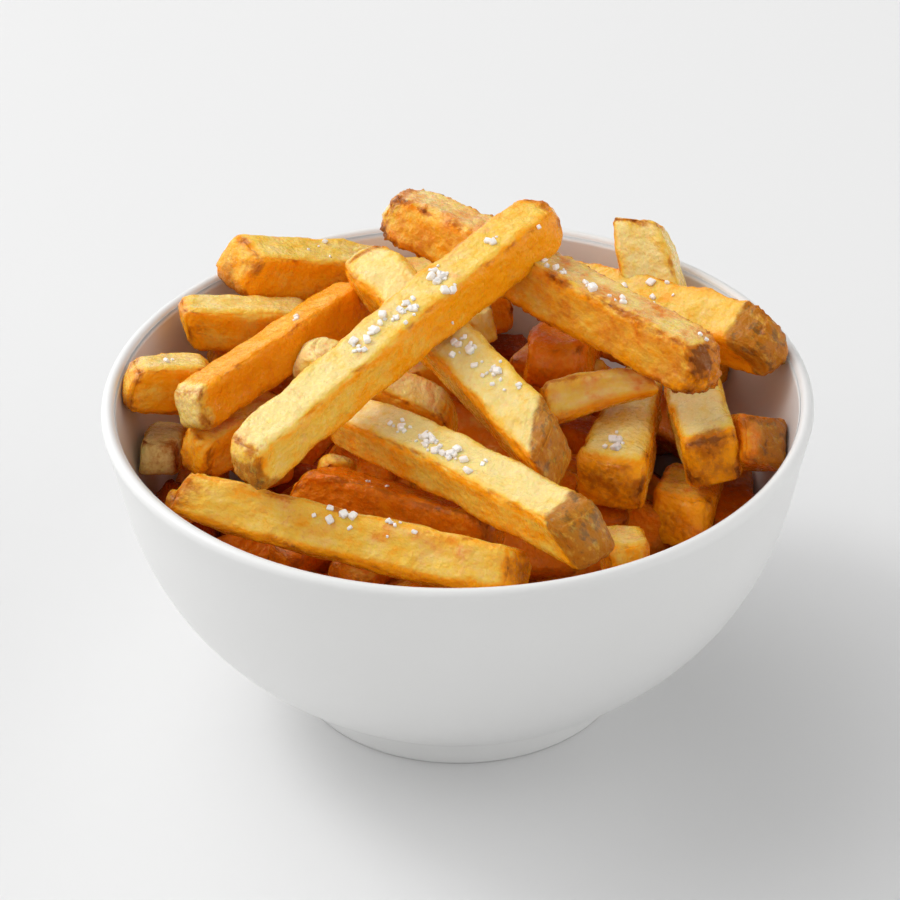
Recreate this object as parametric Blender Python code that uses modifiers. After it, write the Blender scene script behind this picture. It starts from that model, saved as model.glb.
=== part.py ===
"""French fries heaped in a footed porcelain bowl. Metres, +Z up, the foot stands on z = 0."""
import math

import bmesh
import bpy
from mathutils import Matrix, Vector

# Bowl, turned about Z
RIM_RADIUS = 0.075
BOWL_HEIGHT = 0.0715
WALL = 0.003
FLOOR_THICKNESS = 0.005
FOOT_RADIUS = 0.0362
FOOT_TOP_RADIUS = 0.0378
FOOT_HEIGHT = 0.0065
FOOT_RING = 0.005          # width of the ring that the bowl stands on
FOOT_RECESS = 0.003        # depth of the hollow inside that ring
BELLY_RISE = 0.0230        # handles of the wall's one bend
BELLY_REACH = 0.0352
SHOULDER_DROP = 0.0176
SHOULDER_INSET = 0.0043
FLOOR_FLAT = 0.75          # share of the floor's radius that is level
FLOOR_EASE = 0.0005        # the wall's curve starts this far above the floor
LIP_STEPS = 6
FOOT_EDGE = 0.0006         # the softened edges of the foot
FOOT_SOFTNESS = 0.0004
RECESS_DRAFT = 0.001
TURN_STEPS = 48
WALL_POINTS = 16

# Fries
CUT = 0.011                # the side of one cut fry
ROUNDING = 0.0012          # its worn edges
MEET = 0.0020              # extra girth, so that fries that touch become one solid
GAP = 0.0003               # air between the heap and the glaze
HEAP_TOP = 0.055           # the packed fries under the loose ones
HEAP_EDGE = 0.043
HEAP_SHOULDER = 0.45       # where the packed heap starts to fall, as a share of the rim's radius
HEAP_CROWN_DROP = 0.003

# The layer of fries that the loose ones lie on
UNDER_COUNT = 26
UNDER_LENGTH = 0.042
UNDER_HEIGHT = 0.053
UNDER_SPREAD = 0.044       # how far out the middle of the last one lies
UNDER_FALL = 0.008         # the layer drops towards the wall
UNDER_UNEVEN = 0.0025
UNDER_TILT = 0.22
UNDER_SHORTENING = 0.45    # the outer ones are shorter by this share
UNDER_DEPTH_LESS = 0.001   # they are a little flatter than they are wide
UNDER_TURN = 1.9           # radians from one fry to the next
UNDER_ROLL = 23            # degrees from one fry to the next
UNDER_WAVES = (2.1, 3.7)   # steps of the height and of the tilt, in radians

MM = 0.001

# Loose fries on top: both ends of the centre line in mm, width and depth in mm, roll in degrees.
LOOSE_FRIES = {
    "crown": ((-43, -38.6, 77.7), (19.9, 32.7, 94.4), 11.3, 11.3, 0),
    "bridge": ((-13, 53.4, 86), (52.5, -6.3, 78.9), 12.3, 12, 13),
    "back_upright": ((41, 53, 82.5), (46.5, 33, 63.5), 13, 10.5, -29),
    "back_right": ((20, 54, 65.5), (67.7, 11, 74.2), 12.5, 10.5, -20),
    "right_front": ((51, 13, 62), (53, -14.5, 61), 12.8, 11.8, -10),
    "right_low": ((51.5, 4, 43.5), (46, -16.5, 47.5), 13.5, 12, 0),
    "right_wall": ((60.5, 9, 51), (65, -9.5, 63.5), 12.5, 11.5, 15),
    "salted": ((-20.5, 35.5, 83), (20, -27, 70.5), 11.8, 11.3, -22),
    "left_long": ((-56.5, -6.6, 71), (-21, 37, 73), 11.2, 10, 21),
    "back_left": ((-49, 46, 76.5), (-14, 53, 68.5), 12.3, 12, 0),
    "left_upper": ((-59.5, 31, 70.5), (-32, 37, 66), 11.5, 10.5, 7),
    "left_stub": ((-70.2, 6, 70.2), (-53, 12, 66.5), 12, 11, 10),
    "left_under": ((-56, -7, 60.5), (-38, 11, 60), 11, 10.5, 0),
    "left_rest": ((-52, 19, 53), (-39, -2, 53), 11, 10, 0),
    "left_upper_rest": ((-54, 33, 61), (-30, 41, 58), 11, 10, 0),
    "left_end": ((-62, 12, 52.5), (-64, -2, 56), 9.5, 9, 0),
    "left_tip": ((-55, -10, 50), (-60, -19, 55), 7, 7, 0),
    "front_long": ((-54.2, -28.8, 64.5), (12, -55.2, 62), 11, 12, -50),
    "front_skin": ((-24, -5, 68), (26, -55, 70), 11.4, 10.4, -8),
    "front_shadow": ((-32, -16, 58), (8, -34, 56), 11, 10.5, 23),
    "front_stub": ((33, -29, 52), (34.5, -42, 54), 10, 9.5, 0),
    "front_bit": ((-22, -8, 57), (-29, -11, 59.5), 6, 6, 0),
    "centre_under": ((-33, 10.5, 74), (-1, 0, 63), 10, 10.5, -11),
    "centre_stub": ((-3, 39, 72), (6, 22, 73), 9, 9, 0),
    "centre_knob": ((26, 34, 64), (20.5, 14, 67.5), 14, 11, 0),
    "centre_low": ((-13, 22, 60), (3, 31, 59), 11, 10, 0),
    "knob_rest": ((13, 31, 59), (32, 22, 57), 11, 10, 0),
    "right_cross": ((18, 2, 65.5), (40.5, 7, 68), 9.5, 8.5, 38),
    "right_inner": ((41, 24, 58), (31.3, -14, 55.5), 13, 11, 0),
    "back_low": ((-30, 44, 59), (12, 60, 57), 11, 10.5, 10),
    "back_far": ((-24, 62, 62), (8, 64, 60), 10.5, 10.5, 0),
    "right_back": ((30, 52, 56), (58, 30, 58), 11, 10.5, 15),
}


def clear_scene():
    for existing in list(bpy.data.objects):
        bpy.data.objects.remove(existing, do_unlink=True)


def make_collection(name):
    collection = bpy.data.collections.new(name)
    bpy.context.scene.collection.children.link(collection)
    return collection


def principled(name, colour, roughness):
    material = bpy.data.materials.new(name)
    material.use_nodes = True
    shader = material.node_tree.nodes["Principled BSDF"]
    shader.inputs["Base Color"].default_value = (*colour, 1.0)
    shader.inputs["Roughness"].default_value = roughness
    shader.inputs["Metallic"].default_value = 0.0
    return material


def new_object(name, mesh, collection, material=None):
    thing = bpy.data.objects.new(name, mesh)
    collection.objects.link(thing)
    if material:
        mesh.materials.append(material)
    return thing


def mark_as_tool(thing):
    thing.hide_render = True
    thing.display_type = "WIRE"


def outer_wall(count):
    """Points of the bowl's outside from the foot up to the rim, along one Bezier bend."""
    start = Vector((FOOT_TOP_RADIUS, FOOT_HEIGHT))
    belly = start + Vector((BELLY_REACH, BELLY_RISE))
    shoulder = Vector((RIM_RADIUS - SHOULDER_INSET, BOWL_HEIGHT - SHOULDER_DROP))
    rim = Vector((RIM_RADIUS, BOWL_HEIGHT - WALL / 2))
    points = []
    for step in range(count + 1):
        t = step / count
        s = 1 - t
        points.append(start * s**3 + belly * 3 * s * s * t + shoulder * 3 * s * t * t + rim * t**3)
    return points


def inner_wall(distance, count=WALL_POINTS):
    """The outside moved inwards by a distance, closed on the axis by a flat floor."""
    outside = outer_wall(count)
    floor = FLOOR_THICKNESS + distance - WALL + FOOT_RECESS
    points = []
    for index, point in enumerate(outside):
        before = outside[max(index - 1, 0)]
        after = outside[min(index + 1, count)]
        along = (after - before).normalized()
        inside = point + Vector((-along.y, along.x)) * distance
        if inside.y > floor + FLOOR_EASE:
            points.append(inside)
    return [Vector((0.0, floor)), Vector((points[0].x * FLOOR_FLAT, floor))] + points


def turned(name, profile, collection, material=None):
    """A closed solid of revolution; the profile starts and ends on the axis."""
    mesh = bpy.data.meshes.new(name)
    edges = [(index, index + 1) for index in range(len(profile) - 1)]
    mesh.from_pydata([(radius, 0.0, height) for radius, height in profile], edges, [])
    thing = new_object(name, mesh, collection, material)
    screw = thing.modifiers.new("Turn", "SCREW")
    screw.axis = "Z"
    screw.steps = TURN_STEPS
    screw.render_steps = TURN_STEPS
    screw.use_merge_vertices = True
    screw.merge_threshold = 0.00005
    screw.use_smooth_shade = True
    return thing


def make_bowl(collection):
    lip_centre = Vector((RIM_RADIUS - WALL / 2, BOWL_HEIGHT - WALL / 2))
    lip = []
    for step in range(1, LIP_STEPS):
        angle = math.pi * (1 - step / LIP_STEPS)
        lip.append(lip_centre + Vector((math.cos(angle), math.sin(angle))) * WALL / 2)
    ring_inside = FOOT_RADIUS - FOOT_RING
    foot = [
        (FOOT_TOP_RADIUS, FOOT_HEIGHT - FOOT_EDGE),
        (FOOT_RADIUS + FOOT_SOFTNESS, FOOT_EDGE),
        (FOOT_RADIUS - FOOT_SOFTNESS, 0.0),
        (ring_inside, 0.0),
        (ring_inside - RECESS_DRAFT, FOOT_RECESS),
        (0.0, FOOT_RECESS),
    ]
    profile = inner_wall(WALL) + lip + list(reversed(outer_wall(WALL_POINTS))) + foot
    glaze = principled("white_glaze", (0.86, 0.86, 0.84), 0.12)
    return turned("bowl", profile, collection, glaze)


def make_bar(name, start, end, width, depth, roll, collection):
    """One cut fry: a bevelled bar from start to end, all in mm, turned by roll about its length."""
    start = Vector(start) * MM
    end = Vector(end) * MM
    length = end - start
    along = length.normalized()
    side = along.cross(Vector((0, 0, 1))).normalized()
    across = Matrix.Rotation(-math.radians(roll), 3, along) @ side
    turn = Matrix((along, across, across.cross(along))).transposed().to_4x4()
    size = Matrix.Diagonal((length.length, width * MM + MEET, depth * MM + MEET, 1.0))
    mesh = bpy.data.meshes.new(name)
    shape = bmesh.new()
    bmesh.ops.create_cube(shape, size=1.0, matrix=size)
    bmesh.ops.bevel(shape, geom=shape.edges[:], offset=ROUNDING, segments=1, profile=0.5,
                    affect="EDGES", material=-1)
    shape.to_mesh(mesh)
    shape.free()
    bar = new_object(name, mesh, collection)
    bar.matrix_world = Matrix.Translation((start + end) / 2) @ turn
    mark_as_tool(bar)
    return bar


def make_under_layer(collection):
    """The packed layer: fries laid round the bowl by the golden angle, each turned its own way."""
    golden = math.pi * (3 - math.sqrt(5))
    for index in range(UNDER_COUNT):
        share = (index + 0.5) / UNDER_COUNT
        radius = UNDER_SPREAD * math.sqrt(share)
        height = UNDER_HEIGHT - UNDER_FALL * share + UNDER_UNEVEN * math.sin(index * UNDER_WAVES[0])
        centre = Vector((radius * math.cos(index * golden), radius * math.sin(index * golden), height)) / MM
        turn = index * UNDER_TURN
        half = Vector((math.cos(turn), math.sin(turn), UNDER_TILT * math.sin(index * UNDER_WAVES[1])))
        half *= UNDER_LENGTH / 2 / MM * (1 - UNDER_SHORTENING * share)
        cut = CUT / MM
        depth = (CUT - UNDER_DEPTH_LESS) / MM
        name = f"under_{index:02d}"
        make_bar(name, centre - half, centre + half, cut, depth, index * UNDER_ROLL, collection)


def add_boolean(thing, operation, collection=None, other=None):
    modifier = thing.modifiers.new(operation.title(), "BOOLEAN")
    modifier.operation = operation
    modifier.solver = "EXACT"
    if collection:
        modifier.operand_type = "COLLECTION"
        modifier.collection = collection
    else:
        modifier.object = other


def make_heap(collection, bars, moulds):
    """The heap's uneven outline: packed fries below, loose ones above, all clear of the glaze."""
    mound = [
        (0.0, HEAP_TOP),
        (RIM_RADIUS * HEAP_SHOULDER, HEAP_TOP - HEAP_CROWN_DROP),
        (RIM_RADIUS, HEAP_EDGE),
        (RIM_RADIUS, 0.0),
        (0.0, 0.0),
    ]
    starch = principled("fried_potato", (0.72, 0.42, 0.09), 0.42)
    heap = turned("fries_heap", mound, collection, starch)

    for name, (start, end, width, depth, roll) in LOOSE_FRIES.items():
        make_bar(name, start, end, width, depth, roll, bars)
    make_under_layer(bars)

    lining = inner_wall(WALL + GAP)
    top = BOWL_HEIGHT * 2  # well above the highest fry
    mould_profile = [(0.0, top), (lining[-1].x, top)] + [(p.x, p.y) for p in reversed(lining)]
    mould = turned("lining", mould_profile, moulds)
    mark_as_tool(mould)

    add_boolean(heap, "UNION", collection=bars)
    add_boolean(heap, "INTERSECT", other=mould)
    return heap


def main():
    clear_scene()
    portion = make_collection("french_fries_bowl")
    bars = make_collection("fry_bars")
    moulds = make_collection("moulds")
    make_bowl(portion)
    make_heap(portion, bars, moulds)


main()
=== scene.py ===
# A portion of thick-cut french fries in its white footed bowl.
# Metres in the scene, millimetres in the tables.
import math
import random

import bmesh
import bpy
from mathutils import Matrix, Vector, noise
from mathutils.bvhtree import BVHTree


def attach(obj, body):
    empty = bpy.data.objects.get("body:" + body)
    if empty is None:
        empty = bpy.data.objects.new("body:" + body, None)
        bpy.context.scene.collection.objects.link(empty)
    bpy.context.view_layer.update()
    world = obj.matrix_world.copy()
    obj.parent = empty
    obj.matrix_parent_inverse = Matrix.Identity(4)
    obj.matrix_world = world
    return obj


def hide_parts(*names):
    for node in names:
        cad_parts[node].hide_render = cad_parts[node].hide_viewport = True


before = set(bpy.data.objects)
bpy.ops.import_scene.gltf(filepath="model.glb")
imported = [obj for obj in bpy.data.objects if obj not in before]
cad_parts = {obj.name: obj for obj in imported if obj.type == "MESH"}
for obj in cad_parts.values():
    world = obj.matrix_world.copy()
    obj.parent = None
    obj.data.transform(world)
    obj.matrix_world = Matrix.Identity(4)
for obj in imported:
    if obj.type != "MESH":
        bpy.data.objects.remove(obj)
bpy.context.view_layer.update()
mm = 0.001


def ease(value, low, high):
    # 0 below low, 1 above high, smooth between
    t = min(max((value - low) / (high - low), 0.0), 1.0)
    return t * t * (3 - 2 * t)


def clamp(value, limit):
    return min(max(value, -limit), limit)


def newShader(name):
    return Shader(bpy.data.materials.new(name))


def addObject(name, shape, material, smooth=True):
    for face in shape.faces:
        face.smooth = smooth
    mesh = bpy.data.meshes.new(name)
    shape.to_mesh(mesh)
    shape.free()
    mesh.materials.append(material)
    thing = bpy.data.objects.new(name, mesh)
    bpy.context.scene.collection.objects.link(thing)
    return thing


class Wire:
    # one output socket; sums and products of wires add their Math nodes
    def __init__(self, shader, socket):
        self.shader = shader
        self.socket = socket

    def maths(self, operation, first, second):
        return self.shader.node("Math", {"operation": operation}, {0: first, 1: second})

    def __add__(self, other):
        return self.maths("ADD", self, other)

    def __radd__(self, other):
        return self.maths("ADD", other, self)

    def __sub__(self, other):
        return self.maths("SUBTRACT", self, other)

    def __rsub__(self, other):
        return self.maths("SUBTRACT", other, self)

    def __mul__(self, other):
        return self.maths("MULTIPLY", self, other)

    def __rmul__(self, other):
        return self.maths("MULTIPLY", other, self)


class Shader:
    # builds the nodes of a material, or of the world
    def __init__(self, holder, surface="Principled BSDF"):
        self.holder = holder
        self.holder.use_nodes = True
        self.tree = holder.node_tree
        self.surface = self.tree.nodes[surface]

    def node(self, kind, settings, inputs, output=0):
        made = self.tree.nodes.new("ShaderNode" + kind)
        for name, value in settings.items():
            setattr(made, name, value)
        for name, value in inputs.items():
            self.feed(made, name, value)
        return Wire(self, made.outputs[output])

    def feed(self, made, name, value):
        if isinstance(value, Wire):
            self.tree.links.new(value.socket, made.inputs[name])
        else:
            made.inputs[name].default_value = value

    def finish(self, **sockets):
        for name, value in sockets.items():
            self.feed(self.surface, name.replace("_", " "), value)
        return self.holder

    def attribute(self, name, output="Fac"):
        return self.node("Attribute", {"attribute_name": name}, {}, output)

    def noise(self, place, scale, detail=3.0, roughness=0.55):
        sockets = {"Vector": place, "Scale": scale, "Detail": detail, "Roughness": roughness}
        return self.node("TexNoise", {}, sockets)

    def step(self, value, low, high):
        limits = {"Value": value, "From Min": low, "From Max": high}
        return self.node("MapRange", {"interpolation_type": "SMOOTHSTEP"}, limits)

    def blend(self, mask, under, over):
        settings = {"data_type": "RGBA", "clamp_factor": True}
        return self.node("Mix", settings, {0: mask, 6: under, 7: over}, 2)

    def stretched(self, place, scale):
        return self.node("Mapping", {}, {"Vector": place, "Scale": scale})


studio = {
    "target": (-1.69, 0.0, 56.32),      # mm
    "distance": 700.0,
    "elevation": 32.58,                 # degrees
    "roll": 0.779,
    "lens": 131.23,
    "sensor": 36.0,
    "clip": (0.02, 50.0),               # metres
    "keyFrom": (-0.61, 0.27, 0.74),
    "keyDistance": 1.5,                 # metres
    "keySize": 0.45,
    "keyPower": 4.25,
    "windows": [                        # direction, cosine of the soft edge, strength
        ((-0.7, 0.7, 0.8), 0.6, 1.7),
        ((-1.0, 0.0, 0.8), 0.6, 0.9),
        ((0.0, -1.0, 0.8), 0.6, 0.55),
        ((-0.7, 0.7, 0.15), 0.5, 0.50),
        ((1.0, 0.0, 0.15), 0.5, 1.80),
        ((-0.7, -0.7, 0.15), 0.5, 0.55),
        ((0.7, -0.7, 0.15), 0.5, 0.20),
    ],
    "floor": (0.72, 0.72, 0.72),
    "floorSide": 12.0,
    "paperGrain": 900.0,
    "paperRelief": 0.0002,
    "paperRoughness": 0.75,
}


def makeCamera():
    rise = math.radians(studio["elevation"])
    roll = math.radians(studio["roll"])
    back = Vector((0.0, -math.cos(rise), math.sin(rise)))
    level = Vector((1.0, 0.0, 0.0))
    upright = Vector((0.0, math.sin(rise), math.cos(rise)))
    up = upright * math.cos(roll) + level * math.sin(roll)
    right = level * math.cos(roll) - upright * math.sin(roll)
    data = bpy.data.cameras.new("camera")
    data.lens = studio["lens"]
    data.sensor_width = studio["sensor"]
    data.clip_start, data.clip_end = studio["clip"]
    camera = bpy.data.objects.new("camera", data)
    bpy.context.scene.collection.objects.link(camera)
    place = (Vector(studio["target"]) + back * studio["distance"]) * mm
    camera.matrix_world = Matrix.Translation(place) @ Matrix((right, up, back)).transposed().to_4x4()
    bpy.context.scene.camera = camera


def makeStudio():
    scene = bpy.context.scene
    scene.view_settings.view_transform = "Standard"
    scene.world = bpy.data.worlds.new("studio")
    room = Shader(scene.world, "Background")
    direction = room.node("TexCoord", {}, {}, "Generated")
    strength = 0.0
    for towards, edge, level in studio["windows"]:
        sockets = {0: direction, 1: Vector(towards).normalized()}
        facing = room.node("VectorMath", {"operation": "DOT_PRODUCT"}, sockets, "Value")
        strength = strength + room.step(facing, edge, 1.0) * level
    room.finish(Color=(1.0, 1.0, 1.0, 1.0), Strength=strength)

    towards = Vector(studio["keyFrom"]).normalized()
    data = bpy.data.lights.new("key", "AREA")
    data.shape = "DISK"
    data.size = studio["keySize"]
    data.energy = studio["keyPower"]
    key = bpy.data.objects.new("key", data)
    scene.collection.objects.link(key)
    turn = towards.to_track_quat("Z", "Y").to_matrix().to_4x4()
    key.matrix_world = Matrix.Translation(towards * studio["keyDistance"]) @ turn

    shape = bmesh.new()
    bmesh.ops.create_grid(shape, x_segments=1, y_segments=1, size=studio["floorSide"] / 2)
    shader = newShader("paper")
    fibre = shader.noise(shader.node("TexCoord", {}, {}, "Object"), studio["paperGrain"], 2.0)
    relief = {"Height": fibre, "Strength": 0.03, "Distance": studio["paperRelief"]}
    paper = shader.finish(Base_Color=(*studio["floor"], 1.0), Roughness=studio["paperRoughness"],
                          Normal=shader.node("Bump", {}, relief))
    addObject("floor", shape, paper)


bowlCut = {
    "rimRadius": 75.0,
    "height": 71.5,
    "wall": 3.0,
    "floor": 8.0,              # top of the inside floor
    "footRadius": 36.2,
    "footTopRadius": 37.8,
    "footHeight": 6.5,
    "footRing": 5.0,
    "footRecess": 3.0,
    "belly": (35.2, 23.0),     # handles of the wall's one bend
    "shoulder": (4.3, 17.6),
    "wallPoints": 40,
    "lipSteps": 10,
    "wellShares": (0.0, 0.4, 0.8),     # the inside floor's points, as shares of its radius
    "wellEase": 0.4,           # how far above the floor the wall starts
    "turnSteps": 160,
}

glaze = {
    "shade": (0.715, 0.715, 0.703, 1.0),
    "bright": (0.752, 0.752, 0.745, 1.0),
    "cloudScale": 28.0,
    "pitScale": 420.0,
    "roughness": 0.30,
    "relief": 0.0006,
    "ior": 1.5,
}


def wallPoints(inset):
    # the outside of the wall from foot to rim, moved inwards
    start = Vector((bowlCut["footTopRadius"], bowlCut["footHeight"]))
    belly = start + Vector(bowlCut["belly"])
    rim = Vector((bowlCut["rimRadius"], bowlCut["height"] - bowlCut["wall"] / 2))
    shoulder = Vector((bowlCut["rimRadius"], bowlCut["height"])) - Vector(bowlCut["shoulder"])
    points = []
    for index in range(bowlCut["wallPoints"] + 1):
        t = index / bowlCut["wallPoints"]
        s = 1 - t
        point = start * s**3 + belly * 3 * s * s * t + shoulder * 3 * s * t * t + rim * t**3
        along = (belly - start) * s * s + (shoulder - belly) * 2 * s * t + (rim - shoulder) * t * t
        along.normalize()
        points.append(point + Vector((-along.y, along.x)) * inset)
    return points


lowestWall = bowlCut["floor"] + bowlCut["wellEase"]
insideWall = [point for point in wallPoints(bowlCut["wall"]) if point.y > lowestWall]


def roomAt(height):
    # the inside radius of the bowl at a height, both in mm
    if height <= insideWall[0].y:
        return insideWall[0].x
    for lower, upper in zip(insideWall, insideWall[1:]):
        if height <= upper.y:
            share = (height - lower.y) / (upper.y - lower.y)
            return lower.x + (upper.x - lower.x) * share
    return insideWall[-1].x


def spinProfile(points, steps):
    # a closed turned solid from a profile in mm that starts and ends on the axis
    shape = bmesh.new()
    verts = [shape.verts.new((radius * mm, 0.0, height * mm)) for radius, height in points]
    edges = [shape.edges.new(pair) for pair in zip(verts, verts[1:])]
    bmesh.ops.spin(shape, geom=verts + edges, cent=(0, 0, 0), axis=(0, 0, 1), dvec=(0, 0, 0),
                   angle=math.tau, steps=steps, use_merge=True)
    bmesh.ops.remove_doubles(shape, verts=shape.verts[:], dist=0.00001)
    bmesh.ops.recalc_face_normals(shape, faces=shape.faces[:])
    return shape


def makeBowl():
    half = bowlCut["wall"] / 2
    centre = Vector((bowlCut["rimRadius"] - half, bowlCut["height"] - half))
    lip = []
    for index in range(1, bowlCut["lipSteps"]):
        angle = math.pi * (1 - index / bowlCut["lipSteps"])
        lip.append(centre + Vector((math.cos(angle), math.sin(angle))) * half)
    foot, top, recess = bowlCut["footRadius"], bowlCut["footHeight"], bowlCut["footRecess"]
    inner = foot - bowlCut["footRing"]
    footLine = [                # outside of the foot, the ring it stands on, the hollow inside
        (bowlCut["footTopRadius"] - 0.25, top - 0.3), (bowlCut["footTopRadius"] - 0.3, top - 0.9),
        (foot + 0.35, 0.7), (foot + 0.1, 0.2), (foot - 0.5, 0.0), (inner + 0.5, 0.0), (inner, 0.3),
        (inner - 0.8, recess - 0.3), (inner - 1.4, recess), (inner / 2, recess), (0.0, recess),
    ]
    well = [(insideWall[0].x * share, bowlCut["floor"]) for share in bowlCut["wellShares"]]
    outside = list(reversed(wallPoints(0.0)))
    shape = spinProfile(well + insideWall + lip + outside + footLine, bowlCut["turnSteps"])

    shader = newShader("whiteGlaze")
    place = shader.node("TexCoord", {}, {}, "Object")
    cloud = shader.noise(place, glaze["cloudScale"], 2.0)
    pits = shader.noise(place, glaze["pitScale"], 2.0)
    colour = shader.blend(cloud, glaze["shade"], glaze["bright"])
    height = cloud * 0.6 + pits * 0.06
    bump = shader.node("Bump", {}, {"Height": height, "Strength": 0.12, "Distance": glaze["relief"]})
    roughness = glaze["roughness"] + pits * 0.1
    material = shader.finish(Base_Color=colour, Roughness=roughness, Normal=bump, IOR=glaze["ior"])
    bowl = addObject("bowl_glazed", shape, material)
    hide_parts("bowl")
    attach(bowl, "root")


# Both ends of the centre line in mm, width, depth, roll in degrees about the length.
fryPlaces = {
    "crown": ((-43, -38.6, 77.7), (19.9, 32.7, 94.4), 11.3, 11.3, 0),
    "bridge": ((-13, 53.4, 86), (52.5, -6.3, 78.9), 12.3, 12, 13),
    "back_upright": ((41, 53, 82.5), (46.5, 33, 63.5), 13, 10.5, -29),
    "back_right": ((20, 54, 65.5), (67.7, 11, 74.2), 12.5, 10.5, -20),
    "right_front": ((51, 13, 62), (53, -14.5, 61), 12.8, 11.8, -10),
    "right_low": ((51.5, 4, 43.5), (46, -16.5, 47.5), 13.5, 12, 0),
    "right_wall": ((60.5, 9, 51), (65, -9.5, 63.5), 12.5, 11.5, 15),
    "salted": ((-20.5, 35.5, 83), (20, -27, 70.5), 11.8, 11.3, -22),
    "left_long": ((-56.5, -6.6, 71), (-21, 37, 73), 11.2, 10, 21),
    "back_left": ((-49, 46, 76.5), (-14, 53, 68.5), 12.3, 12, 0),
    "left_upper": ((-59.5, 31, 70.5), (-32, 37, 66), 11.5, 10.5, 7),
    "left_stub": ((-70.2, 6, 70.2), (-53, 12, 66.5), 12, 11, 10),
    "left_under": ((-56, -7, 60.5), (-38, 11, 60), 11, 10.5, 0),
    "left_rest": ((-52, 19, 53), (-39, -2, 53), 11, 10, 0),
    "left_upper_rest": ((-54, 33, 61), (-30, 41, 58), 11, 10, 0),
    "left_end": ((-62, 12, 52.5), (-64, -2, 56), 9.5, 9, 0),
    "left_tip": ((-55, -10, 50), (-60, -19, 55), 7, 7, 0),
    "front_long": ((-54.2, -28.8, 64.5), (12, -55.2, 62), 11, 12, -50),
    "front_skin": ((-24, -5, 68), (26, -55, 70), 11.4, 10.4, -8),
    "front_shadow": ((-32, -16, 58), (8, -34, 56), 11, 10.5, 23),
    "front_stub": ((33, -29, 52), (34.5, -42, 54), 10, 9.5, 0),
    "front_bit": ((-22, -8, 57), (-29, -11, 59.5), 6, 6, 0),
    "centre_under": ((-33, 10.5, 74), (-1, 0, 63), 10, 10.5, -11),
    "centre_stub": ((-3, 39, 72), (6, 22, 73), 9, 9, 0),
    "centre_knob": ((26, 34, 64), (20.5, 14, 67.5), 14, 11, 0),
    "centre_low": ((-13, 22, 60), (3, 31, 59), 11, 10, 0),
    "knob_rest": ((13, 31, 59), (32, 22, 57), 11, 10, 0),
    "right_cross": ((18, 2, 65.5), (40.5, 7, 68), 9.5, 8.5, 38),
    "right_inner": ((41, 24, 58), (31.3, -14, 55.5), 13, 11, 0),
    "back_low": ((-30, 44, 59), (12, 60, 57), 11, 10.5, 10),
    "back_far": ((-24, 62, 62), (8, 64, 60), 10.5, 10.5, 0),
    "right_back": ((30, 52, 56), (58, 30, 58), 11, 10.5, 15),
}

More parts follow.
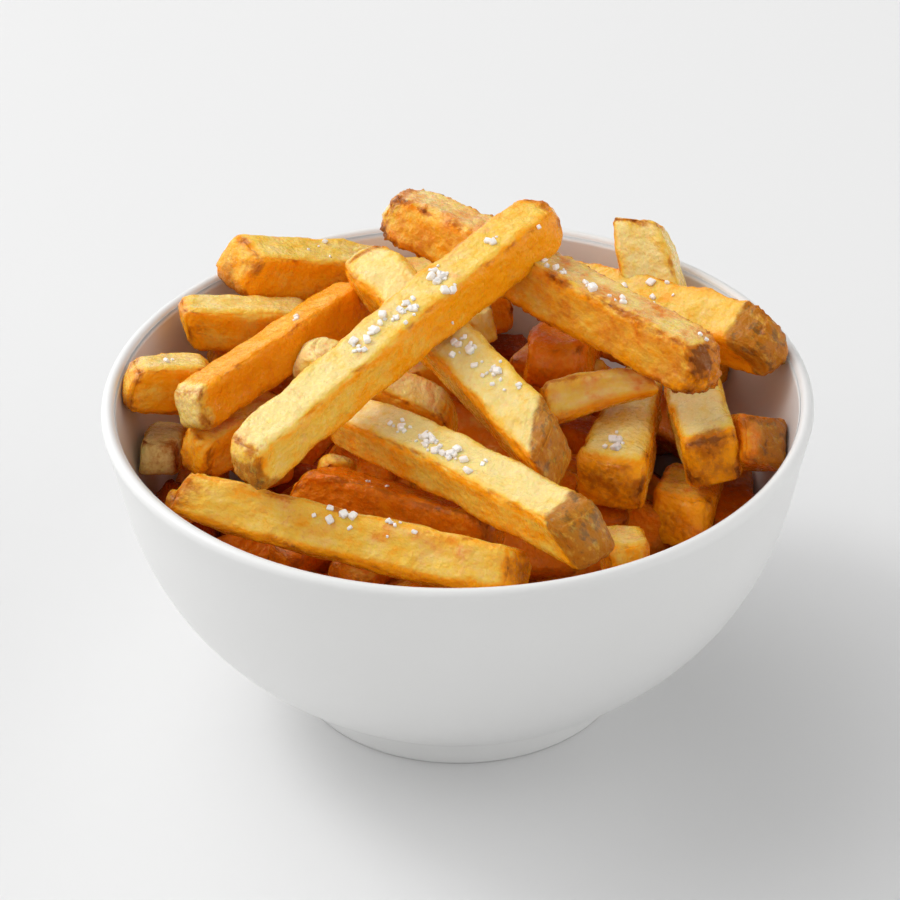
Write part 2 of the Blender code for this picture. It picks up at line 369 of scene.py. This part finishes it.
# What sets one fry apart. Cuts are (slope across, slope up, doming) of an end; skin is a list of
# (end, lean across, lean up, reach in mm); patches are (x, y, z, radius, strength) in the fry's own axes.
# Tone and shade also darken and redden fries that lie low or in shadow: painted shade, besides each fry's own
# colour.
fryLooks = {
    "crown": {"startCut": (0.1, 0.12, 0.6), "endCut": (-0.05, 0.1, 2.2), "bow": (0.6, 0.5),
              "taper": (0.05, 0.06), "pale": 0.0, "paleRun": -0.5, "endBrown": 0.7,
              "skin": [(-1, 0.0, -0.9, 2.2)]},
    "bridge": {"startCut": (-0.15, 0.25, 2.0), "endCut": (0.1, 0.1, 2.4), "bow": (-0.5, 0.8),
               "toneAndShade": 0.5, "shade": 0.16, "pale": 0.22, "startPale": 0.9, "crust": 1.8,
               "patches": [(43, 0, 0, 9, 0.5), (44, -4, 3, 4, 0.5), (-44, 0, 0, 8, 0.2)]},
    "back_upright": {"startCut": (0.36, 0.1, 0.2), "taper": (0.18, 0), "toneAndShade": 0.0, "pale": 0.4},
    "back_right": {"startCut": (0, 0, 0.6), "endCut": (0.1, 0.35, 2.0), "bow": (0.8, 0.6),
                   "pale": -0.35, "crust": 1.2, "lump": 2.0, "skin": [(1, 0.1, 0.35, 6.5)]},
    "right_front": {"endCut": (0.0, 0.15, 0.8), "toneAndShade": 0.0, "pale": 0.25, "endPale": -1.3,
                    "endBrown": 0.95, "patches": [(13, 0, 6, 5, 0.5), (9, 2, 6, 4, 0.3)]},
    "right_low": {"endCut": (-0.25, 0.25, 0.9), "toneAndShade": 0.45, "pale": -0.5,
                  "patches": [(9, 0, 0, 5, 0.15)]},
    "right_wall": {"endCut": (0.45, 0.5, 1.4), "toneAndShade": 0.8, "skin": [(1, 0.6, 0.0, 2.0)]},
    "salted": {"startCut": (0.1, 0.25, 1.8), "endCut": (0.65, 0.3, 0.9), "bow": (0.7, 0.4), "toneAndShade": 0.0,
               "pale": 0.15, "skin": [(1, 0.95, 0.0, 7.0)]},
    "left_long": {"startCut": (0.12, 0.15, 0.7), "bow": (-1.2, 0.3), "taper": (0.03, 0.0), "toneAndShade": 0.15,
                  "pale": -0.8, "startPale": 1.7, "startBrown": 0.4, "skin": [(-1, 0, -0.5, -1.6)]},
    "back_left": {"startCut": (-0.45, 0.3, 0.8), "toneAndShade": 0.15, "pale": -0.15,
                  "skin": [(-1, 0.0, -0.6, -1.0)]},
    "left_upper": {"startCut": (0.1, -0.3, 0.8), "toneAndShade": 0.0, "patches": [(-10, -4, 0, 4, 0.5)]},
    "left_stub": {"startCut": (0.15, 0.15, 1.3), "toneAndShade": 0.2, "crust": 1.2},
    "left_end": {"endCut": (0.2, 0.2, 1.5), "toneAndShade": 0.0, "pale": 0.4, "endPale": 1.2},
    "left_under": {"startCut": (0.1, 0.2, 1.4), "toneAndShade": 0.45, "crust": 1.4},
    "left_tip": {"toneAndShade": 0.5},
    "front_long": {"startCut": (0.25, -0.45, 0.8), "endCut": (0.15, 0.15, 0.8), "bow": (-1.0, -0.8),
                   "toneAndShade": 0.25, "pale": -0.1,
                   "patches": [(34, 0, 0, 6, 0.5), (-33, 0, 5, 6, 0.5), (-12, -4, 4, 8, 0.25)]},
    "front_skin": {"endCut": (-0.1, 0.5, 1.4), "bow": (0.6, 0.5), "taper": (0.06, 0.05), "toneAndShade": -0.1,
                   "pale": 0.2, "skin": [(1, 0.15, 0.45, 4.5)], "patches": [(29, -4, 3, 2.6, 1.2)]},
    "front_shadow": {"startCut": (0.3, 0.3, 0.8), "toneAndShade": 1.0, "shade": 0.4},
    "front_stub": {"endCut": (0.2, 0.3, 1.0), "toneAndShade": 0.45},
    "front_bit": {"toneAndShade": 0.2},
    "centre_under": {"startCut": (-0.2, 0.3, 1.4), "endCut": (0.2, 0.4, 1.0), "toneAndShade": 0.25, "pale": 0.2,
                     "startPale": 0.9, "startBrown": 0.2},
    "centre_stub": {"endCut": (0.1, 0.3, 0.8), "toneAndShade": 0.0, "endPale": 0.6},
    "centre_knob": {"endCut": (0.2, 0.2, 2.2), "toneAndShade": 0.95, "crust": 1.4, "lump": 3.0},
    "right_cross": {"endCut": (0.3, 0.3, 1.0), "bow": (0.3, 0.8), "taper": (-0.1, -0.2), "toneAndShade": 0.4,
                    "pale": 0.2},
    "right_inner": {"endCut": (-0.2, 0.3, 1.6), "taper": (0.3, 0.05), "toneAndShade": 0.1, "pale": 0.1,
                    "endPale": -0.6, "endBrown": 0.7, "crust": 1.3, "lump": 2.0,
                    "patches": [(18, 0, 0, 6, 0.35)]},
}

# What a fry has where its own look says nothing.
plainLook = {
    "startCut": (0.08, 0.06, 0.6), "endCut": (-0.06, 0.08, 0.6), "bow": (0.0, 0.0), "taper": (0.0, 0.0),
    "toneAndShade": 0.12, "shade": 0.0, "pale": 0.0, "paleRun": 0.0, "startPale": 0.0, "endPale": 0.0,
    "startBrown": 0.55, "endBrown": 0.55, "crust": 1.0, "lump": 1.0, "skin": (), "patches": (),
}
hiddenLook = {"toneAndShade": 0.5}

fryCut = {
    "cell": 0.52,          # mm between neighbouring points
    "underCell": 1.3,
    "rounding": 2.4,
    "swell": 0.062,        # share of the width that comes and goes along a fry
    "sunk": 0.42,          # how far the faces fall in between their edges
    "lump": 0.32,
    "ripple": 0.26,
    "nick": 0.45,          # worn places along the edges
    "grit": 0.07,
    "blister": 0.55,
    "air": 0.25,           # between a fry and the glaze
    "slantReach": 16.0,
    "clearAbove": 3.0,     # mm over the rim, past which the wall is no limit
    "endReach": 4.5,       # how far the browning of an end goes in
    "crustReach": 2.6,     # the same from an edge
    "goldReach": 3.2,
    "sway": 0.5,
    "centrePale": 0.42,    # the middle of a face stays pale, its edges turn golden
    "edgeGold": 0.50,
    # painted light: faces that look up are made paler, as if the light from above fell on them
    "paintedTopLight": 0.80,
}

# Wavelengths in mm of what makes a fry uneven.
fryWaves = {
    "rounding": 9.0, "width": 13.0, "depth": 11.0, "hollow": (8.0, 9.0), "sway": 21.0, "stain": 4.5,
    "fleck": 1.7, "cells": 1.9, "lump": 6.5, "ripple": 3.1, "nick": 2.6, "grit": 1.3,
}

underCut = {
    "width": 11.0,
    "depth": 10.0,
    "uneven": 2.5,
    "tilt": 0.22,
    "shortening": 0.45,    # of the bars at the wall
    "toneSpread": 0.2,
    "shade": 0.22,
    # painted shade: the lower a layer lies, the higher its tone, so it turns darker and redder
    "layers": [
        {"count": 26, "length": 42.0, "height": 47.0, "fall": 8.0, "spread": 44.0, "turn": 0.0, "toneAndShade": 1.05},
        {"count": 24, "length": 42.0, "height": 38.5, "fall": 4.0, "spread": 46.0, "turn": 0.9, "toneAndShade": 1.45},
    ],
    "ring": {"count": 13, "length": 27.0, "height": 40.5, "gap": 6.0, "toneAndShade": 1.25},
}


def fryAxes(start, end, roll):
    # columns: along the fry, across it, up out of its top face
    along = (end - start).normalized()
    side = along.cross(Vector((0, 0, 1))).normalized()
    top = side.cross(along)
    angle = math.radians(roll)
    up = top * math.cos(angle) - side * math.sin(angle)
    return Matrix((along, up.cross(along), up)).transposed()


def cutEdges(shape, axis, cuts):
    edges = [edge for edge in shape.edges if abs(edge.verts[0].co[axis] - edge.verts[1].co[axis]) > 0.01]
    if cuts > 0:
        bmesh.ops.subdivide_edges(shape, edges=edges, cuts=cuts, use_grid_fill=True)


def shapeFry(shape, verts, half, look, seed):
    # rounds, bends, dries and blisters a gridded bar that lies along X; all in mm
    layers = shape.verts.layers
    brownAndShadeLayer, skinLayer, paleAndTopLightLayer = layers.float["brown"], layers.float["skin"], layers.float["pale"]
    toneAndShadeLayer, grainLayer = layers.float["toneAndShade"], layers.float_vector["grain"]
    offset = Vector((seed * 37.7, seed * 17.3, seed * 53.1))
    bow, taper, crust = look["bow"], look["taper"], look["crust"]
    reach = min(fryCut["slantReach"], half.x)
    for vert in verts:
        home = vert.co.copy()
        edgeGap = sorted(half[axis] - abs(home[axis]) for axis in range(3))[1]
        wear = noise.noise(Vector((home.x / fryWaves["rounding"], seed * 3.1, 0.0)))
        rounding = fryCut["rounding"] * (1.0 + 0.45 * wear)
        inner = Vector([clamp(home[axis], half[axis] - rounding) for axis in range(3)])
        push = home - inner
        point = inner + push.normalized() * rounding
        across, down = point.y / half.y, point.z / half.z
        end = 1 if point.x > 0 else -1
        slopeY, slopeZ, dome = look["endCut" if end > 0 else "startCut"]
        weight = ease(end * point.x, half.x - reach, half.x)
        point.x -= end * weight * (slopeY * point.y + slopeZ * point.z)
        point.x -= end * weight**6 * dome * (across * across + down * down - 0.8)
        share = home.x / half.x
        wave = noise.noise(Vector((home.x / fryWaves["width"], seed * 7.7, 1.0)))
        other = noise.noise(Vector((home.x / fryWaves["depth"], seed * 5.3, 9.0)))
        point.y *= 1.0 + taper[0] * share + fryCut["swell"] * wave - 0.05 * dome * weight**4
        point.z *= 1.0 + taper[1] * share + fryCut["swell"] * other - 0.05 * dome * weight**4
        spot = Vector((home.x / fryWaves["hollow"][0], seed, home.y / fryWaves["hollow"][1]))
        hollow = fryCut["sunk"] * (0.7 + 0.9 * noise.noise(spot))
        if abs(home.z) > half.z - 0.01:
            point.z -= math.copysign(hollow * (1 - across * across), home.z)
        if abs(home.y) > half.y - 0.01:
            point.y -= math.copysign(hollow * (1 - down * down), home.y)
        if abs(home.x) > half.x - 0.01:
            point.x -= math.copysign(hollow * 0.8 * (1 - across * across) * (1 - down * down), home.x)
        sway = noise.noise(Vector((home.x / fryWaves["sway"], seed, 4.0)))
        point.y += bow[0] * (1 - share * share) + fryCut["sway"] * sway
        point.z += bow[1] * (1 - share * share)
        vert.co = point

        endGap = half.x - abs(home.x)
        edge = 1 - ease(edgeGap, 0.2, fryCut["crustReach"])
        atEnd = 1 - ease(endGap, 0.3, fryCut["endReach"])
        spread = noise.noise((home + offset) / fryWaves["stain"])
        fine = noise.noise((home + offset) / fryWaves["fleck"])
        endAmount = look["endBrown" if end > 0 else "startBrown"]
        brown = edge * (0.28 + 0.85 * spread + 0.3 * fine) * crust + atEnd * endAmount * (0.55 + 0.6 * spread)
        for x, y, z, radius, strength in look["patches"]:
            distance = (home - Vector((x, y, z))).length + 1.6 * spread
            brown += strength * (1 - ease(distance, radius * 0.35, radius))
        skin = 0.0
        for skinEnd, leanY, leanZ, skinReach in look["skin"]:
            level = skinEnd * home.x + leanY * home.y + leanZ * home.z - (half.x - skinReach)
            skin = max(skin, ease(level + 1.4 * spread + 0.8 * fine, 0.0, 1.6))
        # painted shade: the look's shade is added to the browning, so fries in shadow turn rust
        vert[brownAndShadeLayer] = min(max(brown, 0.0), 1.6) + look["shade"]
        vert[skinLayer] = skin
        vert[toneAndShadeLayer] = look["toneAndShade"]
        pale = look["pale"] + share * look["paleRun"] + fryCut["centrePale"]
        pale -= fryCut["edgeGold"] * (1 - ease(edgeGap, 0.0, fryCut["goldReach"]))
        vert[paleAndTopLightLayer] = pale + atEnd * look["endPale" if end > 0 else "startPale"]
        vert[grainLayer] = home + offset

    shape.normal_update()
    moves = []
    for vert in verts:
        place = vert[grainLayer]
        rough = min(vert[brownAndShadeLayer], 1.0)
        cells = noise.voronoi(place / fryWaves["cells"])[0]
        dome = max(0.0, 0.55 - cells[0]) * (0.35 + rough * 1.2 + 0.4 * vert[skinLayer])
        move = fryCut["lump"] * look["lump"] * noise.noise(place / fryWaves["lump"])
        move += fryCut["ripple"] * noise.noise(place / fryWaves["ripple"] + Vector((5, 0, 0)))
        move -= fryCut["nick"] * rough * max(0.0, noise.noise(place / fryWaves["nick"]) - 0.1)
        move += fryCut["grit"] * noise.noise(place / fryWaves["grit"]) * (0.5 + rough)
        move += fryCut["blister"] * dome * crust
        moves.append(vert.normal * move)
    for vert, move in zip(verts, moves):
        vert.co += move


def addFry(start, end, width, depth, roll, look, seed, cell):
    start, end = Vector(start), Vector(end)
    half = Vector(((end - start).length / 2, width / 2, depth / 2))
    piece = bmesh.new()
    for name in ("brown", "skin", "toneAndShade", "pale"):
        piece.verts.layers.float.new(name)
    piece.verts.layers.float_vector.new("grain")
    size = Matrix.Diagonal((half.x * 2, half.y * 2, half.z * 2, 1.0))
    bmesh.ops.create_cube(piece, size=1.0, matrix=size)
    for axis in range(3):
        cutEdges(piece, axis, round(half[axis] * 2 / cell) - 1)
    shapeFry(piece, piece.verts[:], half, {**plainLook, **look}, seed)
    turn = fryAxes(start, end, roll).to_4x4()
    place = Matrix.Scale(mm, 4) @ Matrix.Translation((start + end) / 2) @ turn
    bmesh.ops.transform(piece, matrix=place, verts=piece.verts[:])
    for vert in piece.verts:
        keepInBowl(vert)
    piece.normal_update()
    paleAndTopLightLayer = piece.verts.layers.float["pale"]
    # painted light: each face turns paler the more it looks up, as if light fell on it from above
    for vert in piece.verts:
        vert[paleAndTopLightLayer] += fryCut["paintedTopLight"] * ease(vert.normal.z, 0.15, 0.95)
    return piece


def keepInBowl(vert):
    height = vert.co.z / mm
    if height >= bowlCut["height"] + fryCut["clearAbove"]:
        return
    limit = (roomAt(height) - fryCut["air"]) * mm
    radius = math.hypot(vert.co.x, vert.co.y)
    if radius > limit:
        vert.co.x *= limit / radius
        vert.co.y *= limit / radius
    vert.co.z = max(vert.co.z, (bowlCut["floor"] + fryCut["air"]) * mm)


potato = {
    "cream": (0.88, 0.70, 0.28, 1.0),
    "straw": (0.86, 0.54, 0.075, 1.0),
    "gold": (0.93, 0.345, 0.005, 1.0),
    "amber": (0.80, 0.190, 0.002, 1.0),
    "rust": (0.45, 0.115, 0.005, 1.0),
    "char": (0.17, 0.040, 0.006, 1.0),
    # painted shade: the dark maroon of fries low in the heap, where little light reaches
    "paintedShade": (0.30, 0.032, 0.002, 1.0),
    "hide": (0.42, 0.130, 0.007, 1.0),
    "spot": (0.17, 0.055, 0.010, 1.0),
    "roughness": 0.25,
    "relief": 0.0009,
    "ior": 1.45,
    "oil": 0.30,               # coat where the oil stands
    "oilRoughness": 0.14,
    "shine": 0.30,
    "shineTint": (1.0, 0.74, 0.30, 1.0),
    "glow": 0.50,              # light that passes under the surface
    "glowScale": 0.0026,
    "glowRadius": (1.0, 0.42, 0.10),
}


def potatoMaterial():
    shader = newShader("friedPotato")
    place = shader.attribute("grain", "Vector")
    brown, skin = shader.attribute("brown"), shader.attribute("skin")
    toneAndShade, pale = shader.attribute("toneAndShade"), shader.attribute("pale")
    fibre = shader.noise(shader.stretched(place, (0.22, 1.0, 1.0)), 0.55, 4.0, 0.62) - 0.5
    mottle = shader.noise(place, 0.17, 3.0, 0.6) - 0.5
    fine = shader.noise(place, 1.1, 3.0, 0.6) - 0.5
    speck = shader.noise(place, 0.62, 2.0, 0.5) - 0.5
    blotch = shader.noise(place, 0.36, 4.0, 0.65) - 0.5

    # cream and straw tops, gold sides: partly the fry's own mottling, partly painted light, as the pale
    # attribute makes up-facing faces paler
    paleAndLit = pale + fibre * 0.9 + mottle * 1.4 + blotch * 0.7 + fine * 0.4 - brown * 0.25
    colour = shader.blend(shader.step(paleAndLit, 0.20, 0.90), potato["gold"], potato["straw"])
    colour = shader.blend(shader.step(paleAndLit, 0.75, 1.55), colour, potato["cream"])
    # amber follows the tone attribute: partly each fry's own colour, partly painted shade on fries that lie
    # low or in shadow
    amberMask = shader.step(toneAndShade + mottle * 2.0 + fine * 0.6, 0.15, 1.1)
    colour = shader.blend(amberMask, colour, potato["amber"])
    # rust follows the brown attribute: the real browned crust, plus the painted shade added to it
    rustAndShadeMask = shader.step(brown + fine * 1.2 + mottle, 0.22, 1.0) * 0.85
    colour = shader.blend(rustAndShadeMask, colour, potato["rust"])
    colour = shader.blend(shader.step(brown + speck * 2.2, 1.0, 1.5) * 0.8, colour, potato["char"])
    # painted shade: the highest tone values turn under fries and core dark maroon
    colour = shader.blend(shader.step(toneAndShade + fine * 0.3, 1.1, 1.5), colour, potato["paintedShade"])
    spotMask = shader.step(blotch + fine * 0.3, 0.0, 0.16)
    hideColour = shader.blend(spotMask, potato["hide"], potato["spot"])
    peeled = shader.step(fibre + fine * 0.5, 0.02, 0.22) * 0.38
    hideColour = shader.blend(peeled, hideColour, potato["straw"])
    colour = shader.blend(skin * 0.9, colour, hideColour)

    height = fibre * 0.15 + fine * 0.35 + speck * 0.7 + shader.noise(place, 3.2, 2.0) * 0.06
    bump = shader.node("Bump", {}, {"Height": height, "Strength": 0.9, "Distance": potato["relief"]})
    return shader.finish(
        Base_Color=colour, Roughness=potato["roughness"] + fine * 0.5 + skin * 0.10, Normal=bump,
        IOR=potato["ior"], Specular_IOR_Level=potato["shine"], Specular_Tint=potato["shineTint"],
        Coat_Weight=shader.step(blotch, -0.1, 0.2) * potato["oil"], Coat_Roughness=potato["oilRoughness"],
        Subsurface_Weight=potato["glow"], Subsurface_Scale=potato["glowScale"],
        Subsurface_Radius=potato["glowRadius"])


def underBars():
    # the fries below the visible ones: two packed layers and a ring along the wall
    golden = math.pi * (3 - math.sqrt(5))
    bars = []
    for layer in underCut["layers"]:
        for index in range(layer["count"]):
            share = (index + 0.5) / layer["count"]
            radius = layer["spread"] * math.sqrt(share)
            angle = index * golden + layer["turn"]
            height = layer["height"] - layer["fall"] * share + underCut["uneven"] * math.sin(index * 2.1)
            centre = Vector((radius * math.cos(angle), radius * math.sin(angle), height))
            heading = index * 1.9 + layer["turn"]
            half = Vector((math.cos(heading), math.sin(heading), underCut["tilt"] * math.sin(index * 3.7)))
            half *= layer["length"] / 2 * (1 - underCut["shortening"] * share)
            toneAndShade = layer["toneAndShade"] + underCut["toneSpread"] * math.sin(index * 5.3)
            bars.append((centre - half, centre + half, index * 23, toneAndShade))
    ring = underCut["ring"]
    for index in range(ring["count"]):
        angle = math.tau * index / ring["count"] + 0.12 * math.sin(index * 2.3)
        height = ring["height"] + underCut["uneven"] * math.sin(index * 2.9)
        radius = roomAt(height) - ring["gap"]
        centre = Vector((radius * math.cos(angle), radius * math.sin(angle), height))
        half = Vector((-math.sin(angle), math.cos(angle), underCut["tilt"] * math.sin(index * 4.1)))
        half *= ring["length"] / 2
        toneAndShade = ring["toneAndShade"] + underCut["toneSpread"] * math.sin(index * 4.7)
        bars.append((centre - half, centre + half, index * 31, toneAndShade))
    return bars


def makeFries(material):
    trees = {}
    for index, (name, (start, end, width, depth, roll)) in enumerate(fryPlaces.items()):
        look = fryLooks.get(name, hiddenLook)
        piece = addFry(start, end, width, depth, roll, look, index + 1, fryCut["cell"])
        trees[name] = BVHTree.FromBMesh(piece)
        fry = addObject("fry_" + name, piece, material)
        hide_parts("fries_heap")
        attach(fry, "root")
    return trees


def makeUnder(material):
    joined = bpy.data.meshes.new("under")
    pile = bmesh.new()
    width, depth = underCut["width"], underCut["depth"]
    for index, (start, end, roll, toneAndShade) in enumerate(underBars()):
        look = {"toneAndShade": toneAndShade, "shade": underCut["shade"]}
        piece = addFry(start, end, width, depth, roll, look, index + 50, fryCut["underCell"])
        piece.to_mesh(joined)
        piece.free()
        pile.from_mesh(joined)
    bpy.data.meshes.remove(joined)
    under = addObject("fries_under", pile, material)
    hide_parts("fries_heap")
    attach(under, "root")


coreCut = {
    "crown": [(52.0, 31.0), (40.0, 33.0), (20.0, 35.5), (0.0, 36.0)],    # radius, height
    "wallTop": 29.0,
    "turnSteps": 72,
    # painted shade: the whole core is coloured the dark maroon of fries in shadow
    "toneAndShade": 1.6,
}


def makeCore(material):
    # what fills the bowl below the lower fries, painted the dark maroon of shade
    air = fryCut["air"]
    lowest = bowlCut["floor"] + air
    lining = [(point.x - air, max(point.y, lowest)) for point in insideWall if point.y < coreCut["wallTop"]]
    shape = spinProfile([(0.0, lowest)] + lining + coreCut["crown"], coreCut["turnSteps"])
    for name in ("brown", "skin", "toneAndShade", "pale"):
        layer = shape.verts.layers.float.new(name)
        if name == "toneAndShade":
            for vert in shape.verts:
                vert[layer] = coreCut["toneAndShade"]
    grain = shape.verts.layers.float_vector.new("grain")
    for vert in shape.verts:
        vert[grain] = vert.co / mm
    core = addObject("fries_core", shape, material)
    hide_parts("fries_heap")
    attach(core, "root")


# Where the salt lies: fry, share along it, mm across it, spread in mm, number of crystals.
saltSpots = [
    ("crown", 0.64, 0, 2.2, 7), ("crown", 0.51, 0, 3.6, 24), ("crown", 0.44, -1, 3.0, 9),
    ("crown", 0.80, 1, 1.5, 3), ("crown", 0.36, 0, 3.0, 6), ("salted", 0.42, 0, 3.2, 13),
    ("salted", 0.55, 1, 3.2, 16), ("salted", 0.68, 0, 3.2, 12), ("salted", 0.78, -1, 2.5, 3),
    ("front_skin", 0.24, 1, 2.6, 8), ("front_skin", 0.36, 1, 3.0, 18), ("front_skin", 0.46, 2, 2.6, 12),
    ("front_skin", 0.56, 2, 2.5, 5), ("bridge", 0.51, 2, 1.8, 4), ("bridge", 0.57, 2, 2.2, 6),
    ("bridge", 0.66, 2, 2.2, 6), ("bridge", 0.73, 1, 2.0, 4), ("front_shadow", 0.35, 0, 3.0, 4),
    ("front_shadow", 0.70, 0, 3.0, 5), ("right_inner", 0.80, 0, 2.6, 15),
    ("left_long", 0.62, 1, 1.6, 3), ("front_long", 0.45, 3, 4.0, 8), ("front_long", 0.62, 3, 4.0, 7),
    ("back_left", 0.5, 0, 5.0, 4), ("left_stub", 0.5, 0, 3.0, 3), ("back_right", 0.5, 0, 8.0, 6),
    ("right_front", 0.4, 0, 5.0, 3),
]

saltCut = {
    "small": 0.55,
    "large": 1.95,
    "sunk": 0.22,
    "uneven": 0.13,
    "chamfer": 0.14,
    "lean": 0.35,
    "widths": (0.6, 1.0),          # of a crystal's length
    "heights": (0.5, 0.85),
    "dropFrom": 130.0,             # mm, over everything
    "seed": 12,
    "shade": (0.84, 0.78, 0.73, 1.0),
    "bright": (0.95, 0.91, 0.87, 1.0),
    "grainScale": 900.0,
    "roughness": 0.16,
    "ior": 1.54,
    "glow": 0.4,
    "glowScale": 0.0008,
}


def makeSalt(trees):
    dice = random.Random(saltCut["seed"])
    shape = bmesh.new()
    for name, share, sideways, spread, count in saltSpots:
        start, end, _, _, roll = fryPlaces[name]
        start, end = Vector(start), Vector(end)
        axes = fryAxes(start, end, roll)
        for _ in range(count):
            along = dice.gauss(0.0, spread * 0.55)
            across = sideways + dice.gauss(0.0, spread * 0.4)
            spot = start.lerp(end, share) + axes.col[0] * along - axes.col[1] * across
            above = Vector((spot.x, spot.y, saltCut["dropFrom"])) * mm
            hits = [tree.ray_cast(above, Vector((0, 0, -1))) for tree in trees.values()]
            hits = [hit for hit in hits if hit[0] is not None]
            place, normal, _, _ = min(hits, key=lambda hit: hit[3])
            size = (saltCut["small"] + (saltCut["large"] - saltCut["small"]) * dice.random() ** 2) * mm
            addCrystal(shape, place, normal, size, dice)
    shader = newShader("salt")
    grain = shader.noise(shader.node("TexCoord", {}, {}, "Object"), saltCut["grainScale"], 2.0)
    colour = shader.blend(grain, saltCut["shade"], saltCut["bright"])
    material = shader.finish(
        Base_Color=colour, Roughness=saltCut["roughness"] + grain * 0.25, IOR=saltCut["ior"],
        Subsurface_Weight=saltCut["glow"], Subsurface_Scale=saltCut["glowScale"],
        Subsurface_Radius=(1.0, 1.0, 1.0))
    salt = addObject("salt", shape, material, smooth=False)
    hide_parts("fries_heap")
    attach(salt, "root")


def addCrystal(shape, place, normal, size, dice):
    turn = normal.to_track_quat("Z", "Y").to_matrix().to_4x4()
    spin = Matrix.Rotation(dice.uniform(0, math.tau), 4, "Z")
    spin = spin @ Matrix.Rotation(dice.gauss(0, saltCut["lean"]), 4, "X")
    width = size * dice.uniform(*saltCut["widths"])
    lengths = (size, width, size * dice.uniform(*saltCut["heights"]), 1.0)
    lift = Matrix.Translation((0, 0, lengths[2] * (0.5 - saltCut["sunk"])))
    matrix = Matrix.Translation(place) @ turn @ lift @ spin @ Matrix.Diagonal(lengths)
    made = bmesh.ops.create_cube(shape, size=1.0, matrix=matrix)
    for vert in made["verts"]:
        vert.co += Vector([dice.uniform(-saltCut["uneven"], saltCut["uneven"]) * size for _ in range(3)])
    edges = list({edge for vert in made["verts"] for edge in vert.link_edges})
    bmesh.ops.bevel(shape, geom=edges, offset=size * saltCut["chamfer"], segments=1, profile=0.5,
                    affect="EDGES", material=-1)


makeCamera()
makeStudio()
print("studio ready")
makeBowl()
print("bowl turned")
friedPotato = potatoMaterial()
fryTrees = makeFries(friedPotato)
makeUnder(friedPotato)
makeCore(friedPotato)
print("fries fried:", len(fryTrees))
makeSalt(fryTrees)
print("salt scattered")
